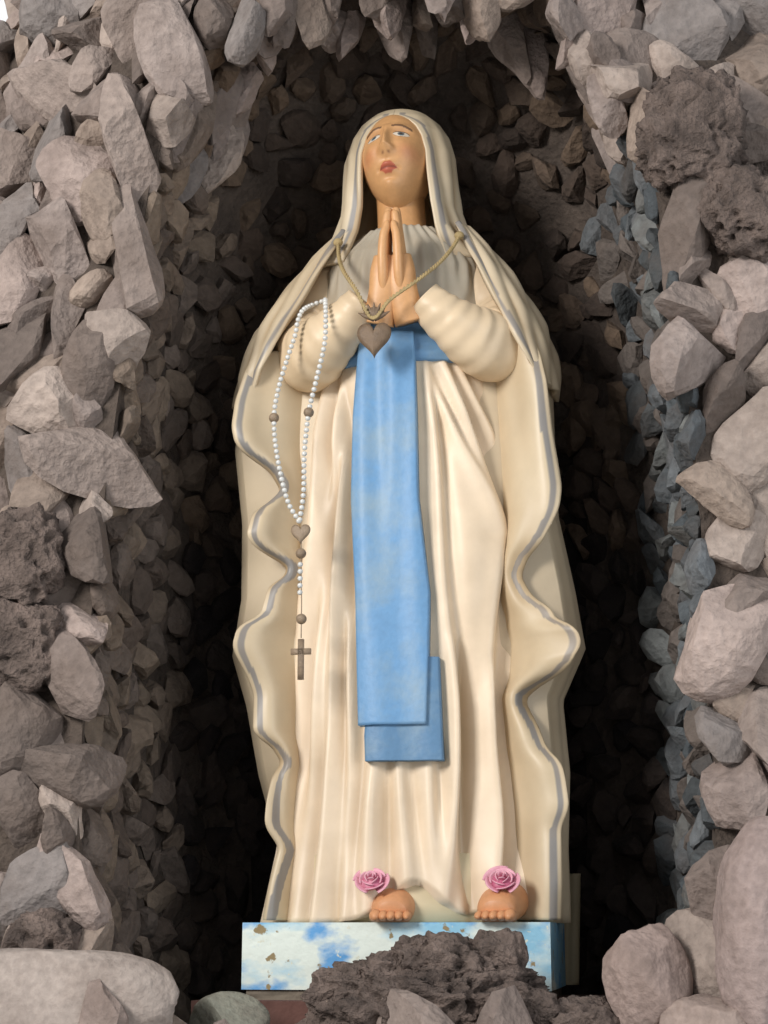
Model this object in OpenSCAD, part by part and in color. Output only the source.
// Rockwork grotto on a raised base, with a veiled praying figure standing in the niche.
// Millimetres. +Z is up, the open side of the niche faces -Y, the ground is z = 0.

/* [Rock mass] */
// Width across the front at the footing
overall_w = 2500; // [2300:10:3000]
// Depth from front to back at the footing
overall_d = 1560; // [1460:10:1900]
// Height of the footing course
footing_h = 280; // [200:10:400]
// Height of the niche floor above the ground
sill_z = 1600; // [1200:10:1900]
// Height of the course that carries the niche floor
sill_course_h = 180; // [120:10:240]
// Rock above the top of the niche
crown_h = 590; // [520:10:800]
// Height of the lump and hollow relief of the masonry faces
relief = 26; // [10:2:34]

/* [Niche] */
// Room between the figure and each side of the niche
side_room = 185; // [140:5:230]
// Room between the back of the plinth and the back of the niche
back_room = 275; // [220:5:320]
// Room between the top of the head and the top of the niche
head_room = 190; // [150:10:300]
// Share of the niche height where the rounded head begins
spring_share = 0.6; // [0.55:0.01:0.68]

/* [Figure] */
// Height of the figure from the top of the plinth
statue_h = 1500; // [1250:10:1800]
// Distance of the figure axis in front of the middle of the rock
figure_forward = 300; // [260:5:330]
// Turn of the figure and its plinth about the upright axis, degrees
figure_turn = 5; // [0:1:10]
// Height of the bead loop's round cross-section
bead_d = 10; // [8:0.5:13]
// Width of one sash tail as a share of its drawn width
sash_share = 1.0; // [0.85:0.05:1.15]

/* [Plinth and slabs] */
// Width of the painted plinth
plinth_w = 500; // [480:10:620]
// Depth of the painted plinth
plinth_d = 310; // [300:10:380]
// Height of the painted plinth
plinth_h = 105; // [80:5:140]
// Thickness of the board under the plinth
board_h = 16; // [10:1:25]
// Thickness of the seat slab
slab_h = 70; // [50:5:100]
// Length the seat slab shows beyond each end of the plinth
slab_end = 70; // [40:5:90]
// Length the seat slab shows in front of the plinth
slab_nose = 45; // [30:5:60]

/* [Loose stones on the sill] */
// Width of the porous block in front of the plinth
block_w = 400; // [320:10:460]
// Height of the porous block
block_h = 205; // [150:5:230]
// Height of the tall boulder at the right foot of the arch
tall_boulder_h = 330; // [250:10:380]
// Height of the boulder at the left foot of the arch
low_boulder_h = 150; // [110:5:190]

/* [Hidden] */
// Clearance left between a loose stone and the seat slab
stone_gap = 14;
// Clearance left between two neighbouring loose stones
boulder_gap = 10;
k = statue_h / 1500;
figure_y = -figure_forward;
slab_top = sill_z + slab_h;
board_top = slab_top + board_h;
feet_z = board_top + plinth_h;
niche_h = slab_h + board_h + plinth_h + statue_h + head_room;
niche_w = 0.41 * statue_h + 2 * side_room;
niche_back = figure_y + plinth_d / 2 + back_room;
niche_top = sill_z + niche_h;
spring_z = sill_z + spring_share * niche_h;
overall_h = niche_top + crown_h;
back_split = niche_back - 105;
mid_z = sill_z + 0.34 * niche_h;
crown_z = niche_top + 0.16 * crown_h;
peak_z = niche_top + 0.6 * crown_h;
front_edge = figure_y - plinth_d / 2 - slab_nose;
slab_swing = (plinth_w / 2 + slab_end) * sin(figure_turn);
block_back = front_edge - slab_swing / 2 - stone_gap;
upper_front = -0.44 * overall_d;
big = 2 * overall_w;
rock_seg = 56;

// ---- shared helpers ----

// Point on a rounded box outline, p = 1 is an ellipse and smaller is squarer
function outline(a, hw, hd, p) = [hw * sign(cos(a)) * pow(abs(cos(a)), p),
                                  hd * sign(sin(a)) * pow(abs(sin(a)), p)];

// Relief of a masonry face as a share of its distance from the middle
function lump(a, z) = 1 + relief / 1000 * (0.9 * sin(3 * a + z * 0.23)
    + 0.7 * sin(7 * a - z * 0.31 + 40) + 0.5 * sin(11 * a + z * 0.53) - 0.6);

function ring(z, hw, hd, xc, yc, seg, p = 1) =
    [for (i = [0:seg - 1]) let (q = outline(360 * i / seg, hw, hd, p)) [xc + q.x, yc + q.y, z]];

function rock_ring(z, hw, hd, yc) =
    [for (i = [0:rock_seg - 1]) let (a = 360 * i / rock_seg, q = outline(a, hw, hd, 0.72))
        [q.x * lump(a, z), yc + q.y * lump(a, z), z]];

function middle(r) = [for (c = [0:2]) let (s = [for (p = r) p[c]]) s * [for (v = s) 1] / len(s)];

// Closed solid through a stack of rings, each running anticlockwise seen from the far end
module loft(rings) {
    n = len(rings[0]);
    m = len(rings);
    points = concat([for (r = rings) each r], [middle(rings[0]), middle(rings[m - 1])]);
    sides = [for (i = [0:m - 2]) for (j = [0:n - 1]) let (t = (j + 1) % n)
        each [[i * n + j, (i + 1) * n + j, (i + 1) * n + t], [i * n + j, (i + 1) * n + t, i * n + t]]];
    bottom = [for (j = [0:n - 1]) [m * n, j, (j + 1) % n]];
    top = [for (j = [0:n - 1]) [m * n + 1, (m - 1) * n + (j + 1) % n, (m - 1) * n + j]];
    polyhedron(points = points, faces = concat(sides, bottom, top), convexity = 8);
}

// Loft from a table of stations [z, half width, half depth, x middle, y middle]
module stations(table, seg, p = 1) {
    loft([for (s = table) ring(s[0], s[1], s[2], s[3], s[4], seg, p)]);
}

// Round limb through a list of [x, y, z, radius]; it must not run straight up
module limb(path, seg = 12) {
    last = len(path) - 1;
    loft([for (i = [0:last])
        let (a = path[max(i - 1, 0)], b = path[min(i + 1, last)],
             d = [b.x - a.x, b.y - a.y, b.z - a.z], dn = d / norm(d),
             u0 = cross([0, 0, 1], dn), u = u0 / norm(u0), v = cross(dn, u), r = path[i][3])
            [for (j = [0:seg - 1]) let (t = 360 * j / seg)
                [path[i].x, path[i].y, path[i].z] + r * cos(t) * u + r * sin(t) * v]]);
}

module block(x0, x1, y0, y1, z0, z1) {
    translate([x0, y0, z0]) cube([x1 - x0, y1 - y0, z1 - z0]);
}

// A rounded loose stone standing on z = 0
module stone(w, d, h, seed, seg = 20) {
    loft([for (s = [[0, 0.8], [0.12, 0.95], [0.4, 1], [0.7, 0.9], [0.9, 0.62], [1, 0.25]])
        [for (i = [0:seg - 1]) let (a = 360 * i / seg, q = outline(a, w / 2, d / 2, 0.85),
            g = s[1] * (1 + 0.05 * sin(3 * a + seed + 200 * s[0]) + 0.04 * sin(5 * a + 3 * seed)))
            [q.x * g, q.y * g, h * s[0]]]]);
}

// Keeps a free-form piece as one faceted solid; a size of 0 leaves that side as drawn
module one_mesh() {
    resize([0, 0, 0]) children();
}

// Anything on the figure's own axes, feet on the plinth
module on_plinth() {
    one_mesh() translate([0, figure_y, feet_z]) rotate([0, 0, -figure_turn]) scale(k) children();
}

module turned_slab(w, d, z, h) {
    translate([0, figure_y, z + h / 2]) rotate([0, 0, -figure_turn]) cube([w, d, h], center = true);
}

// ---- rock mass ----

module footing_mass() {
    one_mesh() intersection() {
        loft([for (s = [[0, 1.0], [0.35, 1.01], [0.8, 1.0], [1, 0.985]])
            rock_ring(s[0] * footing_h, s[1] * overall_w / 2 + 22, s[1] * overall_d / 2 + 22, 0)]);
        block(-overall_w / 2, overall_w / 2, -overall_d / 2, overall_d / 2, 0, footing_h);
    }
}

module base_mass() {
    h = sill_z - footing_h;
    loft([for (s = [[0, 0.955, 0.95], [0.12, 0.95, 0.945], [0.25, 0.945, 0.945], [0.4, 0.94, 0.94],
                    [0.55, 0.932, 0.935], [0.7, 0.925, 0.935], [0.85, 0.922, 0.94], [1, 0.918, 0.94]])
        rock_ring(footing_h + s[0] * h, s[1] * overall_w / 2, s[2] * overall_d / 2, 0)]);
}

module upper_mass() {
    h = overall_h - sill_z;
    intersection() {
        loft([for (s = [[0, 0.9, 0.89, 40], [0.06, 0.895, 0.885, 42], [0.13, 0.89, 0.88, 45],
                        [0.2, 0.885, 0.875, 48], [0.27, 0.88, 0.87, 50], [0.34, 0.87, 0.86, 52],
                        [0.41, 0.855, 0.85, 54], [0.48, 0.84, 0.835, 56], [0.55, 0.82, 0.82, 58],
                        [0.62, 0.79, 0.80, 60], [0.69, 0.755, 0.775, 62], [0.75, 0.71, 0.745, 64],
                        [0.81, 0.655, 0.705, 66], [0.87, 0.58, 0.65, 68], [0.92, 0.49, 0.58, 70],
                        [0.96, 0.395, 0.49, 70], [1.01, 0.25, 0.36, 70]])
            rock_ring(sill_z + s[0] * h, s[1] * overall_w / 2, s[2] * overall_d / 2, s[3])]);
        block(-big, big, -big, big, sill_z, overall_h);
    }
}

function void_ring(t, wide, back, seg = 26) =
    let (w = wide * niche_w / 2, y0 = figure_y - 20, yb = figure_y + back * (niche_back - figure_y),
         z = sill_z + t * niche_h)
    concat([[-w, -overall_d, z], [w, -overall_d, z]],
        [for (i = [0:seg]) let (a = 180 * i / seg,
            g = 1 + relief / 1000 * (sin(5 * a + 300 * t) + 0.7 * sin(9 * a - 500 * t)) * sin(a))
            [w * cos(a) * g, y0 + (yb - y0) * pow(sin(a), 0.9) * g, z]]);

module niche_void() {
    s = spring_share;
    r = 1 - s;
    loft([void_ring(-0.02, 0.9, 1), void_ring(0.03, 0.93, 1), void_ring(0.1, 0.97, 1),
          void_ring(0.2, 1.0, 1), void_ring(0.3, 1.01, 1), void_ring(0.4, 1.0, 1),
          void_ring(0.5, 0.985, 1), void_ring(s, 0.955, 0.98), void_ring(s + 0.2 * r, 0.925, 0.93),
          void_ring(s + 0.4 * r, 0.88, 0.85), void_ring(s + 0.6 * r, 0.81, 0.72),
          void_ring(s + 0.77 * r, 0.71, 0.55), void_ring(s + 0.9 * r, 0.56, 0.34),
          void_ring(s + 0.97 * r, 0.38, 0.16), void_ring(1, 0.12, 0.04)]);
}

// Part of the hollowed upper rock inside one box
module upper_zone(x0, x1, y0, y1, z0, z1) {
    one_mesh() difference() {
        intersection() {
            upper_mass();
            block(x0, x1, y0, y1, z0, z1);
        }
        niche_void();
    }
}

module base_zone(x0, x1, z0, z1) {
    one_mesh() intersection() {
        base_mass();
        block(x0, x1, -big, big, z0, z1);
    }
}

module footing_course() { color("#8d837c") footing_mass(); }
module base_left() { color("#9a9089") base_zone(-big, -0.18 * overall_w, footing_h, sill_z - sill_course_h); }
module base_centre() {
    color("#958b84") base_zone(-0.18 * overall_w, 0.18 * overall_w, footing_h, sill_z - sill_course_h);
}
module base_right() { color("#9a9089") base_zone(0.18 * overall_w, big, footing_h, sill_z - sill_course_h); }
module sill_course() { color("#8f857e") base_zone(-big, big, sill_z - sill_course_h, sill_z); }
module left_jamb_lower() { color("#a3978f") upper_zone(-big, 0, -big, back_split, sill_z, mid_z); }
module left_jamb_upper() { color("#9d918a") upper_zone(-big, 0, -big, back_split, mid_z, spring_z); }
module right_jamb_lower() { color("#9d918a") upper_zone(0, big, -big, back_split, sill_z, mid_z); }
module right_jamb_upper() { color("#a3978f") upper_zone(0, big, -big, back_split, mid_z, spring_z); }
module back_wall_lower() { color("#5d544f") upper_zone(-big, big, back_split, big, sill_z, mid_z); }
module back_wall_upper() { color("#645a54") upper_zone(-big, big, back_split, big, mid_z, spring_z); }
module arch_left() { color("#a3978f") upper_zone(-big, 0, -big, back_split, spring_z, crown_z); }
module arch_right() { color("#9d918a") upper_zone(0, big, -big, back_split, spring_z, crown_z); }
module arch_back() { color("#7a6f68") upper_zone(-big, big, back_split, big, spring_z, crown_z); }
module crown_course() { color("#9a9089") upper_zone(-big, big, -big, big, crown_z, peak_z); }
module crown_peak() { color("#a3978f") upper_zone(-big, big, -big, big, peak_z, overall_h); }

// ---- loose stones on the sill ----

module porous_block() {
    depth = block_back + 0.465 * overall_d;
    color("#6d625d")
    translate([25, block_back - depth / 2, sill_z]) stone(block_w, depth, block_h, 20, 24);
}

module left_boulder() {
    w = 0.42 * niche_w;
    color("#a89c95")
    one_mesh() difference() {
        translate([-0.52 * niche_w, upper_front - 20, sill_z]) stone(w, 130, low_boulder_h, 75);
        upper_zone(-big, 0, -big, back_split, sill_z, mid_z);
    }
}

module right_boulder() {
    color("#b3a79c")
    one_mesh() difference() {
        translate([0.56 * niche_w, upper_front - 16, sill_z]) stone(170, 150, tall_boulder_h, 130);
        upper_zone(0, big, -big, back_split, sill_z, mid_z);
    }
}

module sill_cobble() {
    color("#8f9189")
    translate([-block_w / 2 + 25 - boulder_gap - 62, block_back - 75, sill_z]) stone(112, 120, 84, 210);
}

// ---- seat of the figure ----

module seat_slab() {
    color("#6b4a42")
    turned_slab(plinth_w + 2 * slab_end, plinth_d + 2 * slab_nose, sill_z, slab_h);
}

module bedding_board() { color("#7d7365") turned_slab(plinth_w - 14, plinth_d - 10, slab_top, board_h); }
module plinth() { color("#8ec1dc") turned_slab(plinth_w, plinth_d, board_top, plinth_h); }

// ---- the figure, on its own axes ----

module skirt_form() {
    stations([[0, 232, 132, 4, -18], [50, 224, 128, 4, -16], [120, 212, 124, 3, -14],
              [250, 200, 120, 2, -12], [420, 190, 116, 0, -12], [600, 180, 112, 0, -12],
              [780, 170, 106, 0, -12], [920, 158, 102, 0, -12], [1030, 148, 98, 0, -10]], 30, 0.92);
}

module bodice_form() {
    stations([[1030, 148, 98, 0, -10], [1100, 160, 100, 0, -8], [1160, 158, 92, -2, -4],
              [1205, 128, 76, -4, 0], [1240, 70, 58, -6, 0]], 26, 0.95);
}

module head_form() {
    translate([-13, -18, 1384]) rotate([-14, 4, 0])
    stations([[-104, 14, 20, 0, -16], [-96, 32, 42, 0, -16], [-76, 48, 62, 0, -12], [-44, 61, 78, 0, -6],
              [-8, 68, 86, 0, 0], [30, 69, 88, 0, 4], [62, 60, 78, 0, 6], [84, 42, 56, 0, 8],
              [95, 16, 22, 0, 8]], 20);
}

module neck_form() {
    stations([[1215, 56, 50, -6, 4], [1262, 48, 46, -8, 2], [1330, 45, 44, -11, -4]], 20);
}

module sleeve_form(side) {
    limb([[side * 120, 8, 1185, 46], [side * 165, -2, 1130, 60], [side * 205, -22, 1050, 70],
          [side * 188, -72, 1000, 68], [side * 132, -114, 1008, 58], [side * 84, -138, 1034, 46],
          [side * 54, -150, 1064, 34]], 14);
}

module hand_form(side) {
    loft([for (s = [[1030, 1, 19, -148], [1060, 0, 21, -152], [1100, 0, 25, -160], [1140, 0, 23, -166],
                    [1180, 0, 19, -170], [1215, 0, 15, -172], [1234, 0, 8, -172]])
        [for (i = [0:13]) let (a = 360 * i / 14, q = outline(a, s[2], 30 * s[2] / 25, 0.8))
            [side * 26 * s[2] / 25 + q.x, s[3] + q.y, s[0]]]]);
}

module both_sleeves() {
    sleeve_form(1);
    sleeve_form(-1);
}

module foot_form(x, turn) {
    translate([x, -60, 0]) rotate([0, 0, turn])
    loft([for (s = [[0, 30, 30], [-30, 38, 58], [-75, 42, 52], [-105, 40, 34], [-128, 28, 18]])
        [for (i = [0:13]) let (a = 360 * i / 14, q = outline(a, s[1], s[2] / 2, 0.8))
            [q.x, s[0], s[2] / 2 + q.y]]]);
}

// Ring of the mantle, open side closed by a chord that runs inside the gown
function mantle_ring(z, left, right, back, front, seg = 34) =
    [for (i = [0:seg]) let (a = -25 + 230 * i / seg, c = cos(a), s = sin(a))
        [(c > 0 ? right : left) * sign(c) * pow(abs(c), 0.8),
         s >= 0 ? back * pow(s, 0.9) : -front * s / sin(25), z]];

module mantle_form() {
    loft([mantle_ring(0, 238, 262, 138, -35), mantle_ring(120, 222, 262, 142, -50),
          mantle_ring(250, 264, 270, 147, -62), mantle_ring(370, 286, 262, 149, -72),
          mantle_ring(460, 314, 304, 150, -86), mantle_ring(560, 300, 290, 150, -80),
          mantle_ring(700, 300, 264, 149, -78), mantle_ring(840, 318, 262, 147, -72),
          mantle_ring(950, 302, 258, 142, -62), mantle_ring(1040, 284, 232, 134, -44),
          mantle_ring(1120, 236, 196, 124, -26), mantle_ring(1185, 176, 152, 112, -10),
          mantle_ring(1225, 122, 112, 104, -6)]);
}

module veil_form() {
    stations([[1225, 118, 96, -4, 16], [1262, 114, 102, -6, 16], [1330, 108, 108, -10, 18],
              [1400, 102, 108, -13, 18], [1448, 86, 96, -14, 20], [1480, 60, 70, -14, 22],
              [1500, 22, 28, -14, 24]], 28);
}

module veil_window() {
    rotate([90, 0, 0])
    loft([for (s = [[2, 0.96], [30, 1], [120, 1], [300, 1]])
        [for (i = [0:19]) let (a = 360 * i / 20, q = outline(a, 66 * s[1], 122 * s[1], 0.85))
            [q.x - 13, q.y + 1342, s[0]]]]);
}

// Flat band over the front of the skirt; rows are [z, left, right, front y]
module front_band(rows, thick) {
    loft([for (s = rows) [[s[1], s[3], s[0]], [s[2], s[3], s[0]],
                          [s[2], s[3] + thick, s[0]], [s[1], s[3] + thick, s[0]]]]);
}

module gown_skirt() {
    color("#e6d9bd")
    on_plinth() difference() {
        skirt_form();
        foot_form(-14, 6);
        foot_form(178, -6);
    }
}

module gown_bodice() {
    color("#a8a08f")
    on_plinth() difference() {
        bodice_form();
        neck_form();
        both_sleeves();
    }
}

module head() { color("#d9a679") on_plinth() head_form(); }

module neck() {
    color("#d9a679")
    on_plinth() difference() {
        neck_form();
        head_form();
    }
}

module veil() {
    color("#cfc6ae")
    on_plinth() difference() {
        veil_form();
        veil_window();
        head_form();
        neck_form();
        bodice_form();
    }
}

module mantle() {
    color("#c9bfa5")
    on_plinth() difference() {
        mantle_form();
        skirt_form();
        bodice_form();
        both_sleeves();
        neck_form();
        foot_form(178, -6);
        // Clears the thin sliver left under the right arm
        block(130, 152, -62, -32, 1008, 1052);
    }
}

// Lower back end of the mantle, hanging behind the plinth
module mantle_train() {
    color("#c2b79b")
    translate([0, figure_y, board_top]) rotate([0, 0, -figure_turn])
    translate([0, plinth_d / 2, 0])
    loft([for (s = [[0, 150, 262, 26], [0.6, 140, 268, 30], [1, 130, 270, 32]])
        [[s[1] * k, 0, s[0] * plinth_h], [s[2] * k, 0, s[0] * plinth_h],
         [s[2] * k, s[3], s[0] * plinth_h], [s[1] * k, s[3], s[0] * plinth_h]]]);
}

module left_sleeve() {
    color("#d9cdb3")
    on_plinth() difference() {
        sleeve_form(-1);
        skirt_form();
    }
}

module right_sleeve() {
    color("#d9cdb3")
    on_plinth() difference() {
        sleeve_form(1);
        skirt_form();
    }
}

module left_hand() {
    color("#d9a679")
    on_plinth() difference() {
        hand_form(-1);
        sleeve_form(-1);
    }
}

module right_hand() {
    color("#d9a679")
    on_plinth() difference() {
        hand_form(1);
        sleeve_form(1);
    }
}

module sash_band() {
    color("#6f9dc6")
    on_plinth() difference() {
        stations([[968, 164, 114, 0, -11], [1000, 164, 116, 0, -10], [1026, 160, 112, 0, -10]], 30, 0.95);
        skirt_form();
        both_sleeves();
        mantle_form();
    }
}

module sash_front_tail() {
    s = sash_share;
    color("#6f9dc6")
    on_plinth() difference() {
        front_band([[317, -58 * s, 53 * s, -142], [420, -62 * s, 56 * s, -144], [540, -66 * s, 58 * s, -142],
                    [710, -77 * s, 40 * s, -138], [860, -74 * s, 36 * s, -134],
                    [968, -70 * s, 34 * s, -130]], 60);
        skirt_form();
    }
}

module sash_back_tail() {
    s = sash_share;
    color("#5f8db8")
    on_plinth() difference() {
        front_band([[258, -48 * s, 81 * s, -140], [317, -48 * s, 76 * s, -140]], 60);
        skirt_form();
    }
}

module left_foot() { color("#d9a679") on_plinth() foot_form(-14, 6); }
module right_foot() { color("#d9a679") on_plinth() foot_form(178, -6); }

// A rose resting over one foot
module rose_form(x, y) {
    translate([x, y, 56]) rotate([24, 0, 0])
    stations([[0, 22, 22, 0, 0], [8, 34, 32, 0, 0], [22, 35, 33, 0, 0], [32, 24, 22, 0, 0]], 16);
}

module left_rose() {
    color("#d58ba3")
    on_plinth() difference() {
        rose_form(-30, -138);
        foot_form(-14, 6);
        skirt_form();
    }
}

module right_rose() {
    color("#d58ba3")
    on_plinth() difference() {
        rose_form(170, -132);
        foot_form(178, -6);
        skirt_form();
    }
}

// Centre line of the bead loop, hung over the left forearm
bead_path = [[-158, -186, 662], [-178, -182, 700], [-198, -175, 780], [-206, -168, 850],
    [-200, -163, 905], [-184, -158, 960], [-171, -156, 1003],
    [-168, -154, 1031], [-163, -141, 1055], [-150, -108, 1075],
    [-130, -117, 1076], [-118, -166, 1057], [-112, -183, 1016], [-114, -186, 970], [-128, -187, 905],
    [-140, -188, 850], [-147, -187, 780], [-147, -186, 710], [-152, -186, 664]];

module bead_loop_form() {
    limb([for (p = bead_path) [p.x, p.y, p.z, bead_d / 2]], 8);
}

module bead_loop() {
    color("#dcdcd8")
    on_plinth() difference() {
        bead_loop_form();
        both_sleeves();
    }
}

module bead_pendant() {
    color("#94806a")
    on_plinth() difference() {
        union() {
            translate([-152, -186, 640]) rotate([90, 0, 0]) cylinder(h = 9, r = 17, center = true);
            translate([-150, -186, 545]) cube([7, 7, 190], center = true);
            translate([-150, -186, 425]) cube([12, 7, 70], center = true);
            translate([-150, -186, 438]) cube([38, 7, 10], center = true);
        }
        bead_loop_form();
    }
}

module heart_form() {
    translate([-26, -196, 985]) rotate([90, 0, 0])
    loft([for (s = [[-9, 0.8], [-5, 1], [5, 1], [9, 0.8]])
        [for (i = [0:15]) let (a = 360 * i / 16, q = outline(a, 25 * s[1], 30 * s[1], 1))
            [q.x * (1 + 0.25 * sin(a)), q.y, s[0]]]]);
}

module votive_heart() {
    color("#7a6550")
    on_plinth() difference() {
        heart_form();
        skirt_form();
        both_sleeves();
    }
}

// Twisted cord from shoulder to shoulder, held down in the middle by the heart
module votive_cord() {
    color("#8c7a5c")
    on_plinth() difference() {
        limb([[-116, -66, 1206, 4], [-106, -108, 1160, 4], [-86, -160, 1112, 4], [-56, -196, 1062, 4],
              [-28, -198, 1014, 4], [2, -198, 1046, 4], [52, -194, 1080, 4], [84, -160, 1116, 4],
              [100, -108, 1160, 4], [108, -66, 1200, 4]], 8);
        heart_form();
        bodice_form();
        both_sleeves();
        hand_form(-1);
        hand_form(1);
    }
}

footing_course();
base_left();
base_centre();
base_right();
sill_course();
left_jamb_lower();
left_jamb_upper();
right_jamb_lower();
right_jamb_upper();
back_wall_lower();
back_wall_upper();
arch_left();
arch_right();
arch_back();
crown_course();
crown_peak();
porous_block();
left_boulder();
right_boulder();
sill_cobble();
seat_slab();
bedding_board();
plinth();
gown_skirt();
gown_bodice();
head();
neck();
veil();
mantle();
mantle_train();
left_sleeve();
right_sleeve();
left_hand();
right_hand();
sash_band();
sash_front_tail();
sash_back_tail();
left_foot();
right_foot();
left_rose();
right_rose();
bead_loop();
bead_pendant();
votive_heart();
votive_cord();
